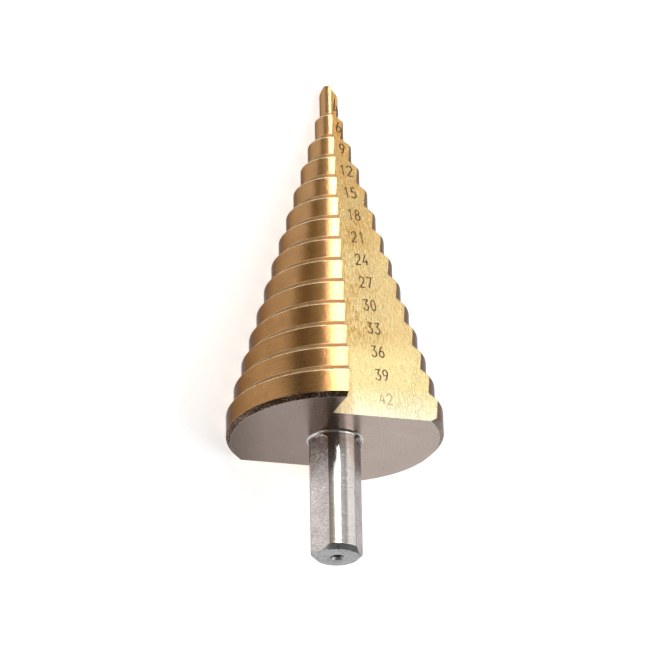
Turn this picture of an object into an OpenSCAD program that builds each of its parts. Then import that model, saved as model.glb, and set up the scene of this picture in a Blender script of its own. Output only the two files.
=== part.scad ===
// Step drill with straight flutes, ground from one bar: a stepped cone, a ground point and a round
// shank with ground flats. It lies as it comes to rest, on the two edges of one flute and on its
// point, with the point towards -X and the shank in the air.

/* [Steps] */
// Diameter of the step at the point
first_d = 4; // [3:0.5:5]
// Diameter of the step after it
second_d = 6; // [5.5:0.5:8]
// Growth in diameter from each later step to the next
step_growth = 3; // [2:0.5:4]
// Number of steps
step_count = 14; // [9:1:16]
// Distance from each shoulder to the next
step_pitch = 5.3; // [4:0.1:7]
// Length of the step at the point, with the point
first_step_h = 7.2; // [5:0.2:9]
// Length of the largest step, with its shoulder
last_step_h = 6.8; // [5:0.2:10]
// Slope of the shoulders, from square to the axis
shoulder_angle = 45; // [30:1:55]
// Chamfer round the base face
base_chamfer = 0.85; // [0.4:0.05:1.5]
// How far each land falls inside its circle, a quarter turn behind the cutting edge
land_relief = 0.18; // [0.05:0.01:0.3]

/* [Point] */
// Full angle of the point
point_angle = 125; // [100:1:135]
// Slope of the facet behind each lip, from square to the axis
heel_slope = 54; // [45:1:60]
// Direction in which that facet falls
heel_turn = -8; // [-20:1:10]
// Distance of the facets below the tip, on the axis
heel_drop = 0.1; // [0.05:0.05:0.3]

/* [Flutes] */
// Depth of the flute's corner below the rim, at the base face
flute_depth = 8; // [5:0.5:10]
// Distance of the flute's corner from the axis, at the point
web_half = 0.2; // [0.1:0.05:0.6]
// Distance of the corner to the right of the centre line, at the base face
corner_side_base = 0.33; // [0:0.05:1]
// The same distance at the point, where the corner stands to the left
corner_side_tip = -0.48; // [-0.8:0.02:-0.3]
// Lean of the cutting face from square across the flute
face_lean = 21; // [10:1:25]
// Fall of the flute's floor away from its corner
floor_fall = 14; // [5:1:20]
// Radius in the flute's corner
corner_r = 0.4; // [0.2:0.05:0.8]

/* [Shank] */
// Diameter of the shank
shank_d = 10; // [8:0.5:13]
// Length of the shank, from the base face
shank_l = 24; // [20:1:40]
// Number of ground flats
flat_count = 3; // [3:1:4]
// Depth of each flat below the round
flat_depth = 0.6; // [0.3:0.05:0.9]
// Direction of the first flat
flat_turn = -14.5; // [-30:0.5:30]
// Gap between the base face and the round end of each flat
flat_gap = 0.3; // [0.2:0.1:3]
// Diameter of the milling cutter that leaves the flats' round ends
flat_cutter_d = 6; // [5.5:0.5:10]
// Chamfer round the shank's end
end_chamfer = 0.9; // [0.4:0.1:1.5]
// Fillet between the shank and the base face
root_fillet = 0.45; // [0.2:0.05:1]
// Diameter of the centre hole in the shank's end
centre_d = 2.1; // [1.5:0.1:3]
// Depth of the centre hole
centre_depth = 3.6; // [2:0.2:6]
// Diameter of the centre hole's mouth
centre_mouth_d = 2.7; // [2.2:0.1:4]

/* [Hidden] */
$fn = 96;

gold = [0.80, 0.62, 0.30];
steel = [0.62, 0.60, 0.58];
spare = 1; // how far each cutter runs past what it cuts
centre_taper = 60; // full angle of the centre hole's mouth
drill_end_angle = 118; // full angle of the centre hole's bottom

// Radii of the steps from the base to the point
step_r = [for (i = [step_count - 2:-1:0]) (second_d + i * step_growth) / 2, first_d / 2];
base_r = step_r[0];
first_r = first_d / 2;
shank_r = shank_d / 2;
// Height where step i ends, at the inner edge of its shoulder
function shoulder_rise(i) = (step_r[i] - step_r[i + 1]) * tan(shoulder_angle);
function shoulder_top(i) = last_step_h + i * step_pitch;
function land_top(i) = shoulder_top(i) - shoulder_rise(i);
cone_h = shoulder_top(step_count - 2) + first_step_h;

// The flute's corner runs in a straight line from the base face to the point
corner_base = [corner_side_base, base_r - flute_depth];
corner_tip = [corner_side_tip, web_half];
function corner_at(z) = corner_base + (corner_tip - corner_base) * z / cone_h;
run = [corner_tip.x - corner_base.x, corner_tip.y - corner_base.y, cone_h];
flute_lean = [atan2(-run.y, norm([run.x, run.z])), atan2(run.x, run.z), 0];
face_dir = [-sin(face_lean), cos(face_lean)];
floor_dir = [-cos(floor_fall), -sin(floor_fall)];
flute_reach = 2 * base_r;
// Direction d of the flute's own section, seen in a section square to the drill's axis
function level_dir(d) =
    let (a = flute_lean.x, b = flute_lean.y)
    let (rise = d.y * sin(a) * cos(b) - d.x * sin(b))
    let (q = [d.x * cos(b) + d.y * sin(a) * sin(b), d.y * cos(a)] - [run.x, run.y] * rise / run.z)
    q / norm(q);

// Each lobe of the cone is turned about a centre a little off the axis, which relieves its lands
edge_turn = 99; // direction of the cutting edge at the base
lobe_centre = land_relief * [cos(edge_turn + 90), sin(edge_turn + 90)];
flute_turn = 128; // direction in which a flute opens

// Point where a line from the flute's corner meets the round land of radius r about centre c
function land_point(z, dir, r, c) =
    let (p = corner_at(z) - c, along = p * dir)
    let (q = corner_at(z) + dir * (sqrt(along * along - p * p + r * r) - along))
    [q.x, q.y, z];

// The drill rests on the flute's two edges at the largest step, and on the end of a lip
lip_drop = first_r / tan(point_angle / 2);
function lip_end(z) = land_point(z, level_dir(face_dir), first_r, lobe_centre);
rest_edge = land_point(land_top(0), level_dir(face_dir), base_r, lobe_centre);
rest_heel = land_point(land_top(0), level_dir(floor_dir), base_r, -lobe_centre);
lip_start = lip_end(cone_h - lip_drop);
rest_lip = lip_end(cone_h - norm([lip_start.x, lip_start.y]) / tan(point_angle / 2));
rest_cross = cross(rest_heel - rest_lip, rest_edge - rest_lip);
rest_up = rest_cross / norm(rest_cross);
rest_turn = atan2(rest_up.y, rest_up.x);
rest_tilt = acos(rest_up.z);
axis_lean = rest_tilt - 90; // slope of the axis when it lies
end_r = shank_r - end_chamfer;
// Distance from the base face to the middle of the length that it takes up lying down
rest_middle = ((cone_h - shank_l) * cos(axis_lean) - end_r * sin(axis_lean)) / 2;
rest_height = -rest_edge * rest_up;

// Half outline of the stepped cone: two points for each step
module step_outline() {
    polygon(concat(
        [[0, 0], [base_r - base_chamfer, 0], [base_r, base_chamfer]],
        [for (i = [0:step_count - 2]) each [
            [step_r[i], land_top(i)],
            [step_r[i + 1], shoulder_top(i)]]],
        [[first_r, cone_h], [0, cone_h]]));
}

// Half space of one lobe: the side of the two flutes that the cutting edge leads
module lobe_side() {
    rotate(flute_turn - 180)
        translate([-flute_reach, 0, -spare])
            cube([2 * flute_reach, flute_reach, cone_h + 3 * spare]);
}

// All that is ground away outside the point's cone
module tip_waste() {
    waste_h = 2 * lip_drop;
    cone_l = waste_h + spare;
    difference() {
        translate([0, 0, cone_h - waste_h])
            cylinder(h = waste_h + spare, r = 2 * first_r);
        translate([0, 0, cone_h - cone_l])
            cylinder(h = cone_l, r1 = cone_l * tan(point_angle / 2), r2 = 0);
    }
}

// All that the steep facet behind one lip takes away
module heel_waste() {
    waste_l = 4 * first_r;
    intersection() {
        translate([0, 0, cone_h - heel_drop])
            rotate([0, heel_slope, heel_turn])
                translate([-waste_l, -waste_l, 0])
                    cube([2 * waste_l, 2 * waste_l, waste_l]);
        lobe_side();
    }
}

module lobe() {
    intersection() {
        translate(lobe_centre)
            rotate_extrude()
                step_outline();
        lobe_side();
    }
}

// Section of a flute, with a rounded corner
module flute_section() {
    half_open = (90 - face_lean + floor_fall) / 2;
    middle = 90 + face_lean + half_open;
    arc_x = corner_r / sin(half_open);
    touch = corner_r / tan(half_open);
    difference() {
        polygon([[0, 0], flute_reach * face_dir,
            2 * flute_reach * [cos(middle), sin(middle)], flute_reach * floor_dir]);
        difference() {
            polygon([[0, 0], touch * face_dir, arc_x * [cos(middle), sin(middle)],
                touch * floor_dir]);
            translate(arc_x * [cos(middle), sin(middle)])
                circle(r = corner_r);
        }
    }
}

module flute() {
    translate(corner_base)
        rotate(flute_lean)
            translate([0, 0, -flute_reach])
                linear_extrude(height = norm(run) + 2 * flute_reach)
                    flute_section();
}

module cutting_cone() {
    difference() {
        union() {
            lobe();
            rotate(180) lobe();
        }
        flute();
        rotate(180) flute();
        tip_waste();
        heel_waste();
        rotate(180) heel_waste();
    }
}

// Half outline of the shank, with its end chamfer
module shank_outline() {
    polygon([[0, 0], [shank_r, 0], [shank_r, end_chamfer - shank_l],
        [shank_r - end_chamfer, -shank_l], [0, -shank_l]]);
}

// Half outline of the fillet at the shank's root
module root_outline() {
    difference() {
        translate([0, -root_fillet])
            square([shank_r + root_fillet, root_fillet]);
        translate([shank_r + root_fillet, -root_fillet])
            circle(r = root_fillet);
    }
}

// Stroke of the cutter that mills one flat, with its round end at the base face
module flat_stroke() {
    cutter_r = flat_cutter_d / 2;
    stroke = shank_l - flat_gap - cutter_r + spare;
    translate([shank_r - flat_depth, 0, -flat_gap - cutter_r])
        rotate([0, 90, 0]) {
            cylinder(h = shank_d, r = cutter_r);
            translate([0, -cutter_r, 0])
                cube([stroke, flat_cutter_d, shank_d]);
        }
}

module centre_hole() {
    mouth_h = (centre_mouth_d - centre_d) / 2 / tan(centre_taper / 2);
    end_h = centre_d / 2 / tan(drill_end_angle / 2);
    translate([0, 0, -shank_l]) {
        translate([0, 0, -spare])
            cylinder(h = centre_depth + spare, d = centre_d);
        cylinder(h = mouth_h, d1 = centre_mouth_d, d2 = centre_d);
        translate([0, 0, centre_depth])
            cylinder(h = end_h, r1 = centre_d / 2, r2 = 0);
    }
}

module shank() {
    difference() {
        union() {
            rotate_extrude() shank_outline();
            rotate_extrude() root_outline();
        }
        for (i = [0:flat_count - 1])
            rotate(flat_turn + i * 360 / flat_count)
                flat_stroke();
        centre_hole();
    }
}

// The drill as it stands on its base face, with the point up
module upright_drill() {
    color(gold) cutting_cone();
    color(steel) shank();
}

module step_drill() {
    translate([rest_middle, 0, rest_height])
        rotate([0, -rest_tilt, 0])
            rotate(-rest_turn)
                upright_drill();
}

step_drill();
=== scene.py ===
import math
import bpy
import bmesh
from mathutils import Matrix, Vector


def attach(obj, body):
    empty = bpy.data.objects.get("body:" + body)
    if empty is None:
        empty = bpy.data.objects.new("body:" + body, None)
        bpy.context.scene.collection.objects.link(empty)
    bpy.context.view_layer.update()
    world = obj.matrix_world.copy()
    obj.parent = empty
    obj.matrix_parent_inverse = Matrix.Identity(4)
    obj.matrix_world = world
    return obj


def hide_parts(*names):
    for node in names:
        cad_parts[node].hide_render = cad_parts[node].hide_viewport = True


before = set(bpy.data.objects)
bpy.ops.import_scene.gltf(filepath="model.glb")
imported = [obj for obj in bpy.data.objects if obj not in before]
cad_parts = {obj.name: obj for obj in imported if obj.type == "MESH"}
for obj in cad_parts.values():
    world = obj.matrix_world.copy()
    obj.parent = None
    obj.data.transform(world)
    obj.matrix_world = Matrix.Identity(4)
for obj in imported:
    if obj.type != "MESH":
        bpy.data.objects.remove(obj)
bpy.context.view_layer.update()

# A step drill lying on one flute and its point. Lengths are millimetres in the drill's own
# frame, with the point up and the base face at zero, until restPlace lays it down in metres.

cone = {
    "firstRadius": 2.0, "secondRadius": 3.0, "radiusGrowth": 1.5, "steps": 14,
    "pitch": 5.3, "largestStep": 6.8, "firstStep": 7.2, "baseChamfer": 0.85,
    "relief": 0.18,        # how far each lobe's centre lies off the axis
    "fallBehind": 0.004,   # how far the shoulders sink for each degree behind the cutting edge
    "edgeTurn": 99.0, "openTurn": 128.0, "edgeBreak": 0.07, "cornerLine": 0.1, "segments": 360,
}
flutes = {
    "cornerBase": (0.33, 13.0), "cornerTip": (-0.48, 0.2),
    "faceLean": 21.0, "floorFall": 14.0, "cornerRadius": 0.4, "cornerFacets": 8,
    "cutterReach": 50.0, "cutterSpare": 30,
}
point = {
    "angle": 125.0, "heelSlope": 54.0, "heelTurn": -8.0, "heelDrop": 0.1,
    "floorGap": 0.004,     # keeps the thinned floor just clear of the flute's own floor
    "thinningReach": 14, "wasteRadius": 4.2, "wasteFacets": 32, "heelReach": 8, "segments": 240,
}
shank = {
    "radius": 5.0, "length": 24.0, "endChamfer": 0.9, "rootFillet": 0.45, "filletFacets": 8,
    "sunk": 0.5,           # how far its root runs into the cone
    "flats": 3, "flatTurn": -14.5, "flatReach": 4.4, "flatGap": 0.3, "cutterRadius": 3.0,
    "cutterFacets": 40, "cutterTop": 10,
    "holeRadius": 1.05, "holeMouth": 1.35, "holeDepth": 3.6, "mouthSlope": 1.73, "endSlope": 0.6,
    "pastMouth": (0.6, 1.04), "holeFacets": 96, "segments": 240,
}
# turns in degrees and places that lay the drill down as the part's source does
rest = {"turn": 50.443390, "tilt": -102.593613, "along": 25.708250, "height": 18.659898}

mm = 0.001
spare = 1              # how far a cutter runs past what it cuts
tiny = 1e-3            # radius that stands for a cone's tip
nearlyNothing = 0.01
coneTop = cone["largestStep"] + (cone["steps"] - 2) * cone["pitch"] + cone["firstStep"]
restPlace = (Matrix.Translation((rest["along"] * mm, 0, rest["height"] * mm))
             @ Matrix.Rotation(math.radians(rest["tilt"]), 4, "Y")
             @ Matrix.Rotation(math.radians(rest["turn"]), 4, "Z")
             @ Matrix.Scale(mm, 4))
turnToWorld = restPlace.to_3x3().normalized()

# slots of the drill's mesh, one for each kind of surface
slotNames = ["land", "shoulder", "stepCorner", "stepEdge", "pointGrind", "numberFace",
             "cuttingFace", "fluteCorner", "baseFace", "baseChamfer", "shankRound", "shankFlat",
             "shankEnd", "marked"]
slotOf = {name: i for i, name in enumerate(slotNames)}
roundSlots = {slotOf[n] for n in ("land", "shoulder", "stepCorner", "stepEdge", "baseChamfer",
                                  "shankRound", "shankEnd")}


def onCircle(degrees, radius=1.0):
    a = math.radians(degrees)
    return Vector((radius * math.cos(a), radius * math.sin(a)))


# shader nodes

def addNode(tree, kind, inputs=None, **settings):
    # inputs are given as values or as other nodes' sockets
    node = tree.nodes.new(kind)
    for key, value in settings.items():
        setattr(node, key, value)
    for key, value in (inputs or {}).items():
        if isinstance(value, bpy.types.NodeSocket):
            tree.links.new(value, node.inputs[key])
        else:
            node.inputs[key].default_value = value
    return node


def calculate(tree, operation, a, b=0.0, clamp=False):
    return addNode(tree, "ShaderNodeMath", {0: a, 1: b}, operation=operation,
                   use_clamp=clamp).outputs[0]


def remap(tree, value, low, high, newLow=0.0, newHigh=1.0):
    return addNode(tree, "ShaderNodeMapRange", {
        "Value": value, "From Min": low, "From Max": high,
        "To Min": newLow, "To Max": newHigh}).outputs["Result"]


def mixColours(tree, factor, a, b):
    # inputs 0, 6 and 7 are the factor and the two colours of a mix of colours
    node = addNode(tree, "ShaderNodeMix", data_type="RGBA")
    for key, value in ((0, factor), (6, a), (7, b)):
        if isinstance(value, bpy.types.NodeSocket):
            tree.links.new(value, node.inputs[key])
        else:
            node.inputs[key].default_value = (*value, 1) if key else value
    return node.outputs[2]


def newGroup(name, inputs, outputs):
    group = bpy.data.node_groups.new(name, "ShaderNodeTree")
    for label, kind, value in inputs:
        socket = group.interface.new_socket(label, in_out="INPUT", socket_type=kind)
        socket.default_value = value
    for label, kind in outputs:
        group.interface.new_socket(label, in_out="OUTPUT", socket_type=kind)
    given = group.nodes.new("NodeGroupInput").outputs
    made = group.nodes.new("NodeGroupOutput").inputs
    return group, given, made


def drillPointGroup():
    # a surface point in the drill's own frame, in millimetres
    group, given, made = newGroup("drillPoint", [], [
        ("Point", "NodeSocketVector"), ("Height", "NodeSocketFloat")])
    place = addNode(group, "ShaderNodeMapping", {
        "Vector": addNode(group, "ShaderNodeTexCoord").outputs["Object"],
        "Location": restPlace.to_translation(), "Rotation": turnToWorld.to_euler("XYZ"),
        "Scale": (mm, mm, mm)}, vector_type="TEXTURE").outputs[0]
    height = addNode(group, "ShaderNodeSeparateXYZ", {0: place}).outputs["Z"]
    group.links.new(place, made["Point"])
    group.links.new(height, made["Height"])
    return group


grainShares = {"streaks": 0.7, "clouds": 0.3}
spotLevels = {"start": 0.82, "byAmount": 0.4, "byPatch": 0.25, "contrast": 14.0, "patchScale": 0.12}
wearAndHighlightLevels = {"samples": 6, "leanStart": 0.995, "leanFull": 0.9, "breakStart": 0.38, "breakFull": 0.55}


def grindGrainGroup():
    # long streaks of grinding marks, with slow changes of tone between them
    group, given, made = newGroup("grindGrain", [
        ("Point", "NodeSocketVector", (0, 0, 0)), ("Marks", "NodeSocketVector", (1, 1, 1)),
        ("Turn", "NodeSocketVector", (0, 0, 0)), ("Cloud", "NodeSocketFloat", 0.3),
        ("Spread", "NodeSocketFloat", 0.14)], [
        ("Tone", "NodeSocketFloat"), ("Height", "NodeSocketFloat")])
    turned = addNode(group, "ShaderNodeMapping", {
        "Vector": given["Point"], "Rotation": given["Turn"]}).outputs[0]
    fine = addNode(group, "ShaderNodeVectorMath", {0: turned, 1: given["Marks"]},
                   operation="MULTIPLY").outputs[0]
    streaks = addNode(group, "ShaderNodeTexNoise", {
        "Vector": fine, "Scale": 1.0, "Detail": 3.0, "Roughness": 0.6}).outputs["Fac"]
    clouds = addNode(group, "ShaderNodeTexNoise", {
        "Vector": given["Point"], "Scale": given["Cloud"], "Detail": 2.0}).outputs["Fac"]
    both = calculate(group, "ADD", calculate(group, "MULTIPLY", streaks, grainShares["streaks"]),
                     calculate(group, "MULTIPLY", clouds, grainShares["clouds"]))
    low = calculate(group, "SUBTRACT", 0.5, given["Spread"])
    high = calculate(group, "ADD", 0.5, given["Spread"])
    group.links.new(remap(group, both, low, high), made["Tone"])
    group.links.new(streaks, made["Height"])
    return group


def speckleGroup():
    # scattered small spots, thicker in some places than in others
    group, given, made = newGroup("speckle", [
        ("Point", "NodeSocketVector", (0, 0, 0)), ("Spots", "NodeSocketFloat", 2.0),
        ("Amount", "NodeSocketFloat", 0.3)], [
        ("Mask", "NodeSocketFloat"), ("Height", "NodeSocketFloat")])
    cells = addNode(group, "ShaderNodeTexNoise", {
        "Vector": given["Point"], "Scale": given["Spots"], "Detail": 3.0,
        "Roughness": 0.7}).outputs["Fac"]
    patches = addNode(group, "ShaderNodeTexNoise", {
        "Vector": given["Point"],
        "Scale": calculate(group, "MULTIPLY", given["Spots"], spotLevels["patchScale"]),
        "Detail": 1.0}).outputs["Fac"]
    level = calculate(group, "SUBTRACT", spotLevels["start"],
                      calculate(group, "MULTIPLY", given["Amount"], spotLevels["byAmount"]))
    level = calculate(group, "SUBTRACT", level,
                      calculate(group, "MULTIPLY", patches, spotLevels["byPatch"]))
    spots = calculate(group, "MULTIPLY", calculate(group, "SUBTRACT", cells, level),
                      spotLevels["contrast"], True)
    group.links.new(spots, made["Mask"])
    group.links.new(cells, made["Height"])
    return group


def edgeWearGroup():
    # edges found by how far a rounded normal leans from the true one, broken up by noise; the colour
    # they get is partly wear and partly a painted highlight
    group, given, made = newGroup("edgeWearAndHighlight", [
        ("Point", "NodeSocketVector", (0, 0, 0)), ("Width", "NodeSocketFloat", 0.00012),
        ("Breaks", "NodeSocketFloat", 1.5)], [
        ("Mask", "NodeSocketFloat"), ("Normal", "NodeSocketVector")])
    rounded = addNode(group, "ShaderNodeBevel", {"Radius": given["Width"]},
                      samples=wearAndHighlightLevels["samples"])
    plain = addNode(group, "ShaderNodeNewGeometry").outputs["Normal"]
    lean = addNode(group, "ShaderNodeVectorMath", {0: rounded.outputs[0], 1: plain},
                   operation="DOT_PRODUCT").outputs["Value"]
    edge = remap(group, lean, wearAndHighlightLevels["leanStart"], wearAndHighlightLevels["leanFull"])
    edgeNoise = addNode(group, "ShaderNodeTexNoise", {
        "Vector": given["Point"], "Scale": given["Breaks"], "Detail": 3.0}).outputs["Fac"]
    broken = remap(group, edgeNoise, wearAndHighlightLevels["breakStart"], wearAndHighlightLevels["breakFull"])
    group.links.new(calculate(group, "MULTIPLY", edge, broken), made["Mask"])
    group.links.new(rounded.outputs[0], made["Normal"])
    return group


sharedEffects = {"drillPoint": drillPointGroup(), "grindGrain": grindGrainGroup(),
                 "speckle": speckleGroup(), "edgeWearAndHighlight": edgeWearGroup()}

# Marks are streaks for each millimetre along X, Y and Z, and bump is how deep they look, in mm.
# A band is a direction, where it starts and ends along it, its colour and how much of it shows.
# Width is the edges', in metres; their colour, edge, is partly wear and partly a painted highlight.
plainLook = {"turn": (0, 0, 0), "cloud": 0.3, "spread": 0.14, "grit": 0.0, "bands": [],
             "grazing": (0.55, 0.55, 0.56), "dent": 0.5}
looks = {
    "land": {
        "light": (0.36, 0.192, 0.076), "dark": (0.27, 0.140, 0.055), "rough": (0.12, 0.17),
        # the band pales the lands towards the point: a painted highlight that brightens their
        # reflections there
        "grazing": (0.36, 0.38, 0.43), "bands": [((0, 0, 1), 15.0, 75.0, (0.60, 0.42, 0.24), 0.22)],
        "marks": (0.10, 0.10, 7.0), "bump": 0.012, "spot": (0.52, 0.31, 0.12), "spots": 5.5,
        "amount": 0.2, "grit": 2.2, "edge": (0.78, 0.56, 0.30), "width": 0.00008},
    "shoulder": {
        "light": (0.88, 0.66, 0.36), "dark": (0.62, 0.43, 0.20), "rough": (0.24, 0.36),
        "marks": (0.2, 0.2, 5.0), "bump": 0.01, "spot": (0.95, 0.80, 0.62), "spots": 3.0,
        "amount": 0.3, "edge": (0.95, 0.75, 0.55), "width": 0.00012},
    "stepCorner": {
        "light": (0.62, 0.40, 0.23), "dark": (0.30, 0.17, 0.08), "rough": (0.3, 0.4),
        "marks": (0.2, 0.2, 5.0), "bump": 0.01, "spot": (0.7, 0.5, 0.3), "spots": 3.0,
        "amount": 0.3, "edge": (0.55, 0.36, 0.2), "width": 0.00005},
    "stepEdge": {
        "light": (0.88, 0.64, 0.42), "dark": (0.46, 0.29, 0.15), "rough": (0.2, 0.35),
        "marks": (1.2, 1.2, 3.0), "bump": 0.01, "spot": (1.0, 0.90, 0.76), "spots": 2.5,
        "amount": 0.4, "edge": (0.95, 0.78, 0.58), "width": 0.00008},
    "pointGrind": {
        "light": (0.50, 0.31, 0.13), "dark": (0.36, 0.21, 0.08), "rough": (0.22, 0.32),
        "marks": (3.0, 3.0, 3.0), "bump": 0.01, "spot": (0.25, 0.15, 0.07), "spots": 4.0,
        "amount": 0.3, "edge": (0.70, 0.48, 0.25), "width": 0.00012},
    "numberFace": {
        "light": (1.0, 0.79, 0.39), "dark": (0.43, 0.25, 0.072), "rough": (0.26, 0.38),
        "grazing": (0.96, 0.76, 0.46), "marks": (4.2, 4.2, 0.42), "spread": 0.07, "cloud": 0.1,
        "bump": 0.03, "spot": (0.50, 0.29, 0.10), "spots": 4.0, "amount": 0.05, "grit": 0.2,
        "edge": (1.0, 0.94, 0.78), "width": 0.00018,
        # the first band pales the face past the digits' centre line
        "bands": [((1, 0, 0.1246), 10.2, 14.0, (0.98, 0.76, 0.38), 0.38),
                  # the next two pale it below 18.5 mm and more below 7 mm: a painted highlight of the
                  # edge strip lamp, which overexposes the face near the base
                  ((0, 0, 1), 18.5, 13.0, (0.99, 0.84, 0.42), 0.50),
                  ((0, 0, 1), 7.0, 0.5, (1.0, 0.97, 0.76), 0.60),
                  # darker above 35 mm: painted shade towards the point
                  ((0, 0, 1), 35.0, 62.0, (0.50, 0.24, 0.06), 0.5),
                  # darker beside the cutting edge: painted shade where the lobe hides the lamps
                  ((1, 0, 0.044), 4.1, 3.3, (0.62, 0.39, 0.17), 0.5)]},
    "cuttingFace": {
        "light": (0.90, 0.66, 0.28), "dark": (0.68, 0.43, 0.15), "rough": (0.28, 0.42),
        "marks": (5.0, 5.0, 0.22), "bump": 0.03, "spot": (0.5, 0.3, 0.12), "spots": 3.0,
        "amount": 0.3, "edge": (0.95, 0.75, 0.45), "width": 0.00012},
    "fluteCorner": {
        "light": (0.70, 0.46, 0.18), "dark": (0.50, 0.30, 0.11), "rough": (0.32, 0.45),
        "marks": (4.0, 4.0, 0.3), "bump": 0.02, "spot": (0.3, 0.18, 0.08), "spots": 3.0,
        "amount": 0.3, "edge": (0.7, 0.5, 0.25), "width": 0.0001},
    "baseFace": {
        "light": (0.49, 0.41, 0.362), "dark": (0.415, 0.34, 0.30), "rough": (0.20, 0.28),
        "marks": (2.2, 2.2, 2.2), "bump": 0.005, "spot": (0.42, 0.35, 0.31), "spots": 1.0,
        "amount": 0.1, "cloud": 0.12, "edge": (0.85, 0.80, 0.74), "width": 0.00015,
        # painted shade: the bands darken the left half of the face, and its left rim more, where it
        # mirrors the floor in the drill's shadow
        "bands": [((1, 0, 0), 3.0, -2.0, (0.22, 0.175, 0.15), 0.65),
                  ((1, 0, 0), -13.0, -20.5, (0.13, 0.10, 0.08), 0.80)]},
    "baseChamfer": {
        # painted shade: the chamfer is nearly black where it mirrors the floor in the drill's shadow,
        # and its band pales only the right side, a painted reflection of lit floor
        "light": (0.15, 0.10, 0.07), "dark": (0.045, 0.027, 0.02), "rough": (0.25, 0.5),
        "marks": (1.2, 1.2, 2.5), "bump": 0.03, "spot": (0.50, 0.40, 0.33), "spots": 3.5,
        "amount": 0.30, "edge": (0.80, 0.70, 0.62), "width": 0.00015,
        "bands": [((1, 0, 0), 14.0, 19.0, (0.45, 0.38, 0.33), 0.7)]},
    "shankRound": {
        "light": (0.66, 0.62, 0.59), "dark": (0.56, 0.52, 0.49), "rough": (0.13, 0.19),
        "marks": (0.3, 0.3, 12.0), "bump": 0.02, "spot": (0.4, 0.36, 0.33), "spots": 3.0,
        "amount": 0.2, "grit": 0.5, "edge": (0.90, 0.87, 0.84), "width": 0.00012},
    "shankFlat": {
        "light": (0.76, 0.71, 0.69), "dark": (0.38, 0.33, 0.32), "rough": (0.18, 0.28),
        "marks": (1.8, 1.8, 9.5), "turn": (-0.25, -0.25, 0.0), "spread": 0.15, "bump": 0.03,
        "spot": (0.9, 0.86, 0.84), "spots": 2.5, "amount": 0.3, "edge": (1.0, 0.97, 0.95),
        # the band darkens the flats towards the cone: painted shade under the cone's base
        "width": 0.0002, "bands": [((0, 0, 1), -9.0, -1.0, (0.54, 0.46, 0.42), 0.5)]},
    "shankEnd": {
        "light": (0.50, 0.505, 0.50), "dark": (0.36, 0.36, 0.355), "rough": (0.3, 0.42),
        "marks": (1.5, 1.5, 1.5), "bump": 0.02, "spot": (0.2, 0.2, 0.2), "spots": 2.0,
        "amount": 0.3, "edge": (0.85, 0.85, 0.85), "width": 0.00012},
    "marked": {
        "light": (0.09, 0.050, 0.032), "dark": (0.04, 0.022, 0.015), "rough": (0.45, 0.65),
        "marks": (4.0, 4.0, 4.0), "bump": 0.02, "spot": (0.35, 0.22, 0.11), "spots": 4.0,
        "amount": 0.05, "edge": (0.2, 0.12, 0.06), "width": 0.00005,
        # the band pales the digits towards the base face: a painted highlight, as on the face around
        # them
        "bands": [((0, 0, 1), 9.5, 5.0, (0.52, 0.42, 0.30), 0.85)]},
}


def makeMetal(name, look):
    material = bpy.data.materials.new(name)
    material.use_nodes = True
    tree = material.node_tree
    shader = tree.nodes["Principled BSDF"]
    look = {**plainLook, **look}

    def effect(label, inputs):
        return addNode(tree, "ShaderNodeGroup", inputs, node_tree=sharedEffects[label]).outputs

    spot = effect("drillPoint", {})["Point"]
    grain = effect("grindGrain", {"Point": spot, "Marks": look["marks"], "Turn": look["turn"],
                                  "Cloud": look["cloud"], "Spread": look["spread"]})
    spotted = effect("speckle", {"Point": spot, "Spots": look["spots"], "Amount": look["amount"]})
    speckle = spotted["Mask"]
    wornAndHighlitEdges = effect("edgeWearAndHighlight", {"Point": spot, "Width": look["width"]})
    colour = mixColours(tree, grain["Tone"], look["dark"], look["light"])
    for direction, start, end, tone, amount in look["bands"]:
        along = addNode(tree, "ShaderNodeVectorMath", {0: spot, 1: direction},
                        operation="DOT_PRODUCT").outputs["Value"]
        colour = mixColours(tree, remap(tree, along, start, end, 0.0, amount), colour, tone)
    colour = mixColours(tree, speckle, colour, look["spot"])
    # edges take the edge colour: partly wear, partly a painted highlight along them
    colour = mixColours(tree, wornAndHighlitEdges["Mask"], colour, look["edge"])
    tree.links.new(colour, shader.inputs["Base Color"])
    tree.links.new(remap(tree, grain["Tone"], 0.0, 1.0, look["rough"][1], look["rough"][0]),
                   shader.inputs["Roughness"])
    relief = calculate(tree, "SUBTRACT", grain["Height"],
                       calculate(tree, "MULTIPLY", speckle, look["dent"]))
    grit = calculate(tree, "MULTIPLY", spotted["Height"], look["grit"])
    relief = calculate(tree, "ADD", relief, grit)
    bump = addNode(tree, "ShaderNodeBump", {"Height": relief, "Normal": wornAndHighlitEdges["Normal"],
                                            "Strength": 1.0, "Distance": look["bump"] * mm})
    tree.links.new(bump.outputs[0], shader.inputs["Normal"])
    shader.inputs["Metallic"].default_value = 1.0
    shader.inputs["Specular Tint"].default_value = (*look["grazing"], 1)
    return material


print("making the materials")
materials = {name: makeMetal(name, looks[name]) for name in slotNames}


# mesh pieces

def makeObject(name, verts, faces, slots):
    mesh = bpy.data.meshes.new(name)
    mesh.from_pydata([tuple(v) for v in verts], [], faces)
    obj = bpy.data.objects.new(name, mesh)
    bpy.context.scene.collection.objects.link(obj)
    for slotName in slotNames:
        mesh.materials.append(materials[slotName])
    for face, slot in zip(mesh.polygons, slots):
        face.material_index = slotOf[slot]
    bm = bmesh.new()
    bm.from_mesh(mesh)
    bmesh.ops.recalc_face_normals(bm, faces=bm.faces)
    bm.to_mesh(mesh)
    bm.free()
    return obj


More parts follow.
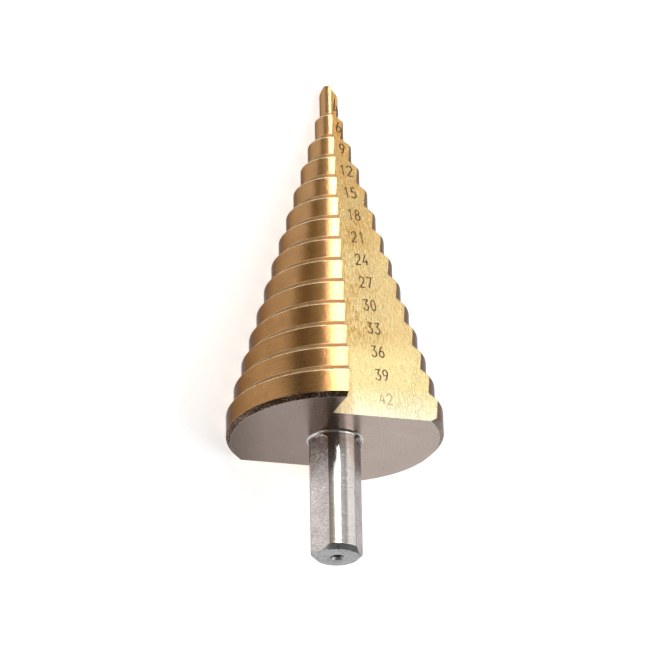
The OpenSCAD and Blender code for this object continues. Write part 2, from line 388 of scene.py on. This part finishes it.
def latheObject(name, outline, segments, centreAt, startSlot, endSlot, sinkAt=None):
    # outline holds (radius, height, slot of the ring that follows). The first two rings and the
    # last one never sink.
    verts, faces, slots = [], [], []
    for ring, (radius, height, slot) in enumerate(outline):
        for k in range(segments):
            degrees = 360.0 * k / segments
            p = onCircle(degrees, radius) + centreAt(degrees)
            sink = sinkAt(degrees) if sinkAt and 1 < ring < len(outline) - 1 else 0.0
            verts.append((p.x, p.y, height - sink))
    for ring in range(len(outline) - 1):
        for k in range(segments):
            a, b = ring * segments + k, ring * segments + (k + 1) % segments
            faces.append((a, b, b + segments, a + segments))
            slots.append(outline[ring][2])
    last = (len(outline) - 1) * segments
    faces += [tuple(range(segments)), tuple(range(last, last + segments))]
    slots += [startSlot, endSlot]
    return makeObject(name, verts, faces, slots)


def prismObject(name, section, low, high, place, sideSlots, endSlot):
    count = len(section)
    verts = [place @ Vector((p[0], p[1], z)) for z in (low, high) for p in section]
    faces = [(k, (k + 1) % count, (k + 1) % count + count, k + count) for k in range(count)]
    faces += [tuple(range(count)), tuple(range(count, 2 * count))]
    return makeObject(name, verts, faces, list(sideSlots) + [endSlot, endSlot])


def combine(target, tool, operation):
    # one exact boolean, then the tool goes
    modifier = target.modifiers.new(operation, "BOOLEAN")
    modifier.object, modifier.operation, modifier.solver = tool, operation, "EXACT"
    modifier.material_mode = "INDEX"
    bpy.context.view_layer.update()
    evaluated = target.evaluated_get(bpy.context.evaluated_depsgraph_get())
    mesh = bpy.data.meshes.new_from_object(evaluated)
    target.modifiers.clear()
    old, target.data = target.data, mesh
    bpy.data.meshes.remove(old)
    bpy.data.meshes.remove(tool.data)


def noShift(degrees):
    return Vector((0, 0))


def lobeShift(degrees):
    # each lobe turns about its own centre, which relieves the lands behind the cutting edge
    behind = (cone["openTurn"] - degrees) % 360.0
    side = 1 if behind < 180.0 else -1
    return side * onCircle(cone["edgeTurn"] + 90, cone["relief"])


def shoulderSink(degrees):
    behind = (cone["openTurn"] - degrees) % 180.0 - (cone["openTurn"] - cone["edgeTurn"])
    return cone["fallBehind"] * max(0.0, behind)


def fluteCorner(height):
    base, tip = Vector(flutes["cornerBase"]), Vector(flutes["cornerTip"])
    return base + (tip - base) * (height / coneTop)


cornerRun = fluteCorner(coneTop) - fluteCorner(0)
cornerRun = Vector((cornerRun.x, cornerRun.y, coneTop))
faceDirection = onCircle(90 + flutes["faceLean"])
floorDirection = onCircle(180 + flutes["floorFall"])


def leanAlong(run):
    return (Matrix.Rotation(math.atan2(run.x, run.z), 4, "Y")
            @ Matrix.Rotation(-math.atan2(run.y, math.hypot(run.x, run.z)), 4, "X"))


def coneOutline():
    radii = [cone["secondRadius"] + cone["radiusGrowth"] * i
             for i in range(cone["steps"] - 2, -1, -1)] + [cone["firstRadius"]]
    edge, chamfer = cone["edgeBreak"], cone["baseChamfer"]
    slant = edge * math.sqrt(0.5)
    outline = [(radii[0] - chamfer, 0, "baseChamfer"), (radii[0], chamfer, "land")]
    for i in range(cone["steps"] - 1):
        shoulderTop = cone["largestStep"] + i * cone["pitch"]
        landTop = shoulderTop - (radii[i] - radii[i + 1])
        outline += [(radii[i], landTop - edge, "stepEdge"),
                    (radii[i] - slant, landTop + slant, "shoulder"),
                    (radii[i + 1], shoulderTop, "stepCorner"),
                    (radii[i + 1], shoulderTop + cone["cornerLine"], "land")]
    return outline + [(radii[-1], coneTop, "land")]


def fluteSection():
    # from far along the cutting face, round the corner and far along the number face
    halfOpen = (90 - flutes["faceLean"] + flutes["floorFall"]) / 2
    middle = 90 + flutes["faceLean"] + halfOpen
    radius, facets, reach = flutes["cornerRadius"], flutes["cornerFacets"], flutes["cutterReach"]
    arcCentre = onCircle(middle, radius / math.sin(math.radians(halfOpen)))
    section, slots = [faceDirection * reach], ["cuttingFace"]
    for k in range(facets + 1):
        spread = (90 - halfOpen) * (1 - 2 * k / facets)
        section.append(arcCentre - onCircle(middle + spread, radius))
        slots.append("fluteCorner" if k < facets else "numberFace")
    section += [floorDirection * reach, onCircle(middle, 2 * reach)]
    slots += ["numberFace", "numberFace"]
    return section, slots


def fluteCutter(turn):
    section, slots = fluteSection()
    place = (Matrix.Rotation(turn, 4, "Z") @ Matrix.Translation((*flutes["cornerBase"], 0))
             @ leanAlong(cornerRun))
    past = flutes["cutterSpare"]
    return prismObject("fluteCutter", section, -past, coneTop + past, place, slots, "numberFace")


def thinningCutter(turn):
    # over the first step the cutting face is ground back until it runs straight up
    start = coneTop - cone["firstStep"]
    low, high = fluteCorner(start), fluteCorner(coneTop)
    face, floor = faceDirection, floorDirection
    across = face.x * floor.y - face.y * floor.x
    gap = low - high
    back = (gap.x * floor.y - gap.y * floor.x) / across
    straight = low - face * back
    run = Vector((straight.x - low.x, straight.y - low.y, cone["firstStep"]))
    section, slots = fluteSection()
    place = (Matrix.Rotation(turn, 4, "Z")
             @ Matrix.Translation((low.x, low.y + point["floorGap"], start)) @ leanAlong(run))
    return prismObject("thinningCutter", section, 0, point["thinningReach"], place, slots,
                       "numberFace")


def tipCutter():
    # everything outside the point's cone
    flank = math.tan(math.radians(point["angle"] / 2))
    depth = 2 * cone["firstRadius"] / flank
    grind = latheObject("tipCone", [((depth + spare) * flank, coneTop - depth - spare, "pointGrind"),
                                    (tiny, coneTop - tiny / flank, "pointGrind")],
                        point["segments"], noShift, "pointGrind", "pointGrind")
    block = latheObject("tipBlock", [(point["wasteRadius"], coneTop - depth, "pointGrind"),
                                     (point["wasteRadius"], coneTop + 2 * spare, "pointGrind")],
                        point["wasteFacets"], noShift, "pointGrind", "pointGrind")
    combine(block, grind, "DIFFERENCE")
    return block


def heelCutter(turn):
    # the steep facet behind one lip
    reach = point["heelReach"]
    wide = reach + spare
    lobe = [(0, -reach), (reach, -reach), (reach, reach), (0, reach)]
    place = Matrix.Rotation(math.radians(cone["openTurn"] - 90), 4, "Z")
    block = prismObject("heelBlock", lobe, coneTop - reach, coneTop + 2 * spare, place,
                        ["pointGrind"] * 4, "pointGrind")
    place = (Matrix.Translation((0, 0, coneTop - point["heelDrop"]))
             @ Matrix.Rotation(math.radians(point["heelTurn"]), 4, "Z")
             @ Matrix.Rotation(math.radians(point["heelSlope"]), 4, "Y"))
    square = [(-wide, -wide), (wide, -wide), (wide, wide), (-wide, wide)]
    above = prismObject("heelSide", square, 0, wide, place, ["pointGrind"] * 4, "pointGrind")
    combine(block, above, "INTERSECT")
    block.data.transform(Matrix.Rotation(turn, 4, "Z"))
    return block


def shankOutline():
    radius, fillet, facets = shank["radius"], shank["rootFillet"], shank["filletFacets"]
    outline = [(radius + fillet, shank["sunk"], "shankRound")]
    for k in range(facets + 1):
        a = math.radians(90.0 * k / facets)
        outline.append((radius + fillet - fillet * math.sin(a),
                        -fillet * (1 - math.cos(a)), "shankRound"))
    return outline + [(radius, shank["endChamfer"] - shank["length"], "shankEnd"),
                      (radius - shank["endChamfer"], -shank["length"], "shankEnd")]


def flatCutter(turn):
    # the milling cutter's stroke: a slot's outline with one round end, run in from the side
    r, facets = shank["cutterRadius"], shank["cutterFacets"]
    top, bottom = -shank["flatGap"] - r, shank["length"] + spare
    section = [(bottom, -r), (bottom, r)]
    for k in range(facets + 1):
        a = math.radians(180.0 * k / facets)
        section.append((-top - r * math.sin(a), r * math.cos(a)))
    place = Matrix.Rotation(math.radians(turn), 4, "Z") @ Matrix.Rotation(math.pi / 2, 4, "Y")
    return prismObject("flatCutter", section, shank["flatReach"], shank["cutterTop"], place,
                       ["shankFlat"] * len(section), "shankFlat")


def centreHoleCutter():
    r, mouth, end = shank["holeRadius"], shank["holeMouth"], -shank["length"]
    wider, lower = shank["pastMouth"]
    bottom = end + shank["holeDepth"]
    outline = [(mouth + wider, end - lower, "shankEnd"),
               (r, end + (mouth - r) * shank["mouthSlope"], "shankEnd"),
               (r, bottom, "shankEnd"), (tiny, bottom + r * shank["endSlope"], "shankEnd")]
    return latheObject("centreHole", outline, shank["holeFacets"], noShift, "shankEnd", "shankEnd")


def setRoundNormals(obj):
    # true normals for the turned surfaces, flat ones for the ground planes
    mesh = obj.data
    normals = [None] * len(mesh.loops)
    for face in mesh.polygons:
        face.use_smooth = True
        n, c = face.normal, face.center
        turnedFace = face.material_index in roundSlots
        centre = Vector((0, 0))
        if turnedFace and c.z > 0:
            centre = lobeShift(math.degrees(math.atan2(c.y, c.x)))
        out = Vector((c.x, c.y)) - centre
        flat = math.sqrt(max(0.0, 1 - n.z * n.z))
        side = 1 if n.x * out.x + n.y * out.y > 0 else -1
        for loop in face.loop_indices:
            v = mesh.vertices[mesh.loops[loop].vertex_index].co
            spoke = Vector((v.x, v.y)) - centre
            if turnedFace and flat > nearlyNothing and spoke.length > nearlyNothing:
                spoke = spoke.normalized() * flat * side
                normals[loop] = (spoke.x, spoke.y, n.z)
            else:
                normals[loop] = tuple(n)
    mesh.normals_split_custom_set(normals)


print("building the stepped cone")
drill = latheObject("stepDrill", coneOutline(), cone["segments"], lobeShift, "baseFace", "land",
                    shoulderSink)
for turn in (0, math.pi):
    combine(drill, fluteCutter(turn), "DIFFERENCE")
for turn in (0, math.pi):
    combine(drill, thinningCutter(turn), "DIFFERENCE")
combine(drill, tipCutter(), "DIFFERENCE")
for turn in (0, math.pi):
    combine(drill, heelCutter(turn), "DIFFERENCE")

print("building the shank")
shankBody = latheObject("shankBody", shankOutline(), shank["segments"], noShift,
                        "shankRound", "shankEnd")
for k in range(shank["flats"]):
    combine(shankBody, flatCutter(shank["flatTurn"] + 360.0 * k / shank["flats"]), "DIFFERENCE")
combine(shankBody, centreHoleCutter(), "DIFFERENCE")
combine(drill, shankBody, "UNION")
setRoundNormals(drill)
drill.data.transform(restPlace)
print("drill faces", len(drill.data.polygons))
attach(drill, "root")
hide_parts("step_drill")

# the step sizes, as strokes in a box one wide and one high; a curve is centre, radii and turns
digits = {
    "0": [("curve", 0.5, 0.5, 0.42, 0.5, 0, 360)],
    "1": [("line", 0.25, 0.8, 0.6, 1.0, 0.6, 0.0)],
    "2": [("curve", 0.5, 0.72, 0.42, 0.28, 170, -35), ("line", 0.84, 0.56, 0.05, 0.0, 0.95, 0.0)],
    "3": [("line", 0.08, 1.0, 0.9, 1.0, 0.42, 0.6), ("curve", 0.45, 0.3, 0.45, 0.3, 95, -160)],
    "4": [("line", 0.62, 1.0, 0.05, 0.3, 0.95, 0.3), ("line", 0.7, 0.55, 0.7, 0.0)],
    "5": [("line", 0.88, 1.0, 0.2, 1.0, 0.14, 0.55), ("curve", 0.45, 0.31, 0.45, 0.31, 130, -150)],
    "6": [("line", 0.72, 1.0, 0.32, 0.72, 0.1, 0.38), ("curve", 0.5, 0.28, 0.42, 0.28, 0, 360)],
    "7": [("line", 0.05, 1.0, 0.95, 1.0, 0.4, 0.0)],
    "8": [("curve", 0.5, 0.76, 0.34, 0.24, 0, 360), ("curve", 0.5, 0.27, 0.43, 0.27, 0, 360)],
    "9": [("line", 0.28, 0.0, 0.68, 0.28, 0.9, 0.62), ("curve", 0.5, 0.72, 0.42, 0.28, 0, 360)],
}
marking = {
    "firstHeight": 4.1, "centreStart": 10.255, "centreLean": -0.1246, "width": 1.05, "height": 2.4,
    "advance": 1.45, "stroke": 0.25, "sunk": 0.03, "proud": 0.010, "curveSteps": 24,
    "firstMark": (1.36, 72.3), "firstStretch": 1.7,
    "pitchShare": 0.9943,  # the numbers stand a little closer than the steps
    "mitreLimit": 0.5,
}
halfTurn = Matrix.Rotation(math.pi, 3, "Z")
faceRun = halfTurn @ cornerRun.normalized()
faceAcross = halfTurn @ (leanAlong(cornerRun).to_3x3() @ Vector((*floorDirection, 0)))
faceNormal = faceRun.cross(faceAcross).normalized()
if faceNormal.y > 0:
    faceNormal = -faceNormal
faceLevel = Vector((0, 0, 1)).cross(faceNormal).normalized()
faceUp = Vector((marking["centreLean"], 0, 1))
faceUp.y = -(faceUp.x * faceNormal.x + faceNormal.z) / faceNormal.y


def onNumberFace(x, height):
    start = halfTurn @ Vector((*flutes["cornerBase"], 0))
    y = start.y - ((x - start.x) * faceNormal.x + height * faceNormal.z) / faceNormal.y
    return Vector((x, y, height))


def strokePoints(stroke):
    if stroke[0] == "line":
        return [Vector(stroke[k:k + 2]) for k in range(1, len(stroke), 2)], False
    x, y, wide, high, start, end = stroke[1:]
    closed = abs(end - start) >= 360
    count = marking["curveSteps"]
    points = []
    for k in range(count if closed else count + 1):
        a = onCircle(start + (end - start) * k / count)
        points.append(Vector((x + wide * a.x, y + high * a.y)))
    return points, closed


def addStroke(stroke, corner, high, verts, faces):
    # a thin closed band along the stroke, sunk a little into the face
    flat, closed = strokePoints(stroke)
    points = [Vector((p.x * marking["width"], p.y * high)) for p in flat]
    count, first = len(points), len(verts)
    for k, p in enumerate(points):
        before = points[k - 1] if k or closed else p
        after = points[(k + 1) % count] if k < count - 1 or closed else p
        ahead, behind = (after - p), (p - before)
        ahead = ahead.normalized() if ahead.length else behind.normalized()
        behind = behind.normalized() if behind.length else ahead
        tangent = (ahead + behind).normalized()
        side = Vector((-tangent.y, tangent.x)) * marking["stroke"] / 2
        side = side / max(marking["mitreLimit"], tangent.dot(ahead))
        for q in (p + side, p - side):
            spot = corner + faceLevel * q.x + faceUp * q.y
            verts.append(spot - faceNormal * marking["sunk"])
            verts.append(spot + faceNormal * marking["proud"])
    for k in range(count if closed else count - 1):
        a, b = first + 4 * k, first + 4 * ((k + 1) % count)
        faces += [(a, b, b + 1, a + 1), (a + 1, b + 1, b + 3, a + 3), (a + 3, b + 3, b + 2, a + 2),
                  (a + 2, b + 2, b, a)]
    if not closed:
        last = first + 4 * (count - 1)
        faces += [(first, first + 1, first + 3, first + 2), (last, last + 2, last + 3, last + 1)]


print("marking the step sizes")
verts, faces = [], []
for i in range(cone["steps"]):
    size = str(round(2 * (cone["secondRadius"] + cone["radiusGrowth"] * (cone["steps"] - 2 - i))))
    height = marking["firstHeight"] + i * cone["pitch"] * marking["pitchShare"]
    x = marking["centreStart"] + marking["centreLean"] * height
    high = marking["height"]
    if i == cone["steps"] - 1:
        size, (x, height) = "4", marking["firstMark"]
        high *= marking["firstStretch"]
    centre = onNumberFace(x, height)
    for k, digit in enumerate(size):
        shift = (k - (len(size) - 1) / 2) * marking["advance"] - marking["width"] / 2
        corner = centre + faceLevel * shift - faceUp * high / 2
        for stroke in digits[digit]:
            addStroke(stroke, corner, high, verts, faces)
stepNumbers = makeObject("stepNumbers", verts, faces, ["marked"] * len(faces))
stepNumbers.data.transform(restPlace)
print("number faces", len(faces))
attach(stepNumbers, "root")

print("building the studio")
studio = {
    "floorSize": 3.0, "floorColour": (0.90, 0.90, 0.90), "floorRoughness": 0.9, "floorLift": 0.72,
    "worldLevel": 0.15, "topSize": 0.40, "topDistance": 0.60, "topRadiance": 1.2,
}
# Soft lamps round the drill's axis, where its surfaces see them. Turns are in degrees from the
# drill's Y, heights and distances in metres along and from its axis.
panels = {
    "sideBox": {"turns": (88, 130), "heights": (-0.25, 0.41), "away": 0.45, "radiance": 1.1,
                "lightsFloor": True},
    "gapFill": {"turns": (130, 160), "heights": (0.12, 0.41), "away": 0.45, "radiance": 0.40},
    "faceBox": {"turns": (139, 157), "heights": (0.27, 0.36), "away": 0.44, "radiance": 1.0},
    "edgeStrip": {"turns": (163, 183), "heights": (0.17, 0.32), "away": 0.45, "radiance": 20.0},
    "nearGlow": {"turns": (182, 194), "heights": (0.21, 0.41), "away": 0.45, "radiance": 1.4},
    "farGlow": {"turns": (194, 212), "heights": (0.217, 0.41), "away": 0.45, "radiance": 0.92,
                "colour": (1.0, 0.9, 0.65)},
    "lowSide": {"turns": (88, 130), "heights": (-0.28, -0.16), "away": 0.44, "radiance": 2.8},
    "pointBox": {"turns": (150, 205), "heights": (0.42, 0.75), "away": 0.26, "radiance": 9.0},
}
# small dim glowing sheets that only mirrored rays see, and that hide the lamps behind them: painted
# shade in the reflections, leftCard dimming the view near the horizon and lowCard standing for the
# floor's shadow below the base
cards = {
    "leftCard": {"turns": (212, 246), "heights": (0.045, 0.25), "away": 0.085, "radiance": 0.46,
                 "colour": (1.0, 0.84, 0.58)},
    "lowCard": {"turns": (200, 300), "heights": (-0.06, -0.004), "away": 0.045, "radiance": 0.24,
                "colour": (1.0, 0.60, 0.34)},
}


def panelPlace(panel):
    start, end = panel["turns"]
    low, high = panel["heights"]
    out = onCircle(90 - (start + end) / 2)
    spot = restPlace @ (Vector((*out * panel["away"], (low + high) / 2)) / mm)
    facing = turnToWorld @ Vector((*out, 0))
    along = turnToWorld @ Vector((0, 0, 1))
    turn = Matrix((along.cross(facing), along, facing)).transposed().to_4x4()
    width = 2 * panel["away"] * math.tan(math.radians((end - start) / 2))
    return width, high - low, Matrix.Translation(spot) @ turn


def flatSheet(name, width, height, material):
    x, y = width / 2, height / 2
    mesh = bpy.data.meshes.new(name)
    mesh.from_pydata([(-x, -y, 0), (x, -y, 0), (x, y, 0), (-x, y, 0)], [], [(0, 1, 2, 3)])
    mesh.materials.append(material)
    obj = bpy.data.objects.new(name, mesh)
    bpy.context.scene.collection.objects.link(obj)
    return obj


floorMaterial = bpy.data.materials.new("paleFloor")
floorMaterial.use_nodes = True
tree = floorMaterial.node_tree
floorShader = tree.nodes["Principled BSDF"]
floorShader.inputs["Base Color"].default_value = (*studio["floorColour"], 1)
floorShader.inputs["Roughness"].default_value = studio["floorRoughness"]
path = addNode(tree, "ShaderNodeLightPath").outputs
seen = calculate(tree, "ADD", path["Is Camera Ray"], path["Is Glossy Ray"], True)
seen = calculate(tree, "ADD", seen, path["Is Transmission Ray"], True)
tree.links.new(seen, floorShader.inputs["Emission Color"])
floorShader.inputs["Emission Strength"].default_value = studio["floorLift"]
flatSheet("floor", studio["floorSize"], studio["floorSize"], floorMaterial)

for name, card in cards.items():
    material = bpy.data.materials.new(name)
    material.use_nodes = True
    cardShader = material.node_tree.nodes["Principled BSDF"]
    cardShader.inputs["Base Color"].default_value = (0, 0, 0, 1)
    cardShader.inputs["Specular IOR Level"].default_value = 0.0
    cardShader.inputs["Emission Color"].default_value = (*card.get("colour", (1, 1, 1)), 1)
    cardShader.inputs["Emission Strength"].default_value = card["radiance"]
    width, height, place = panelPlace(card)
    sheet = flatSheet(name, width, height, material)
    sheet.matrix_world = place
    sheet.visible_camera = sheet.visible_diffuse = sheet.visible_shadow = False

world = bpy.data.worlds.new("studioWorld")
world.use_nodes = True
world.node_tree.nodes["Background"].inputs["Color"].default_value = (1, 1, 1, 1)
world.node_tree.nodes["Background"].inputs["Strength"].default_value = studio["worldLevel"]
bpy.context.scene.world = world


def addLamp(name, width, height, place, radiance):
    data = bpy.data.lights.new(name, "AREA")
    data.shape, data.size, data.size_y = "RECTANGLE", width, height
    data.energy = radiance * math.pi * width * height
    obj = bpy.data.objects.new(name, data)
    bpy.context.scene.collection.objects.link(obj)
    obj.matrix_world = place
    obj.visible_camera = False
    return obj


for name, panel in panels.items():
    lamp = addLamp(name, *panelPlace(panel), panel["radiance"])
    lamp.visible_diffuse = "lightsFloor" in panel
    lamp.data.color = panel.get("colour", (1, 1, 1))
addLamp("topBox", studio["topSize"], studio["topSize"],
        Matrix.Translation((0, 0, studio["topDistance"])), studio["topRadiance"])

print("setting the camera")
view = {
    "distance": 700.0, "tilt": 25.794, "roll": -1.0347, "aimX": -1.981, "aimZ": 25.087,
    "focalPixels": 3611.65, "frame": 645, "sensor": 36.0, "clipStart": 0.01,
}
tilt, roll = math.radians(view["tilt"]), math.radians(view["roll"])
back = Vector((0, -math.cos(tilt), -math.sin(tilt)))
level = Vector((1, 0, 0))
upward = level.cross(-back)
right = math.cos(roll) * level + math.sin(roll) * upward
upward = -math.sin(roll) * level + math.cos(roll) * upward
eye = Vector((view["aimX"], 0, view["aimZ"])) + back * view["distance"]
pose = Matrix((right, upward, back)).transposed()
camera = bpy.data.cameras.new("camera")
camera.sensor_width = view["sensor"]
camera.lens = view["focalPixels"] / view["frame"] * view["sensor"]
camera.clip_start = view["clipStart"]
cameraObject = bpy.data.objects.new("camera", camera)
bpy.context.scene.collection.objects.link(cameraObject)
cameraObject.matrix_world = Matrix.Translation(restPlace @ eye) @ (turnToWorld @ pose).to_4x4()
bpy.context.scene.camera = cameraObject
bpy.context.scene.view_settings.view_transform = "Standard"
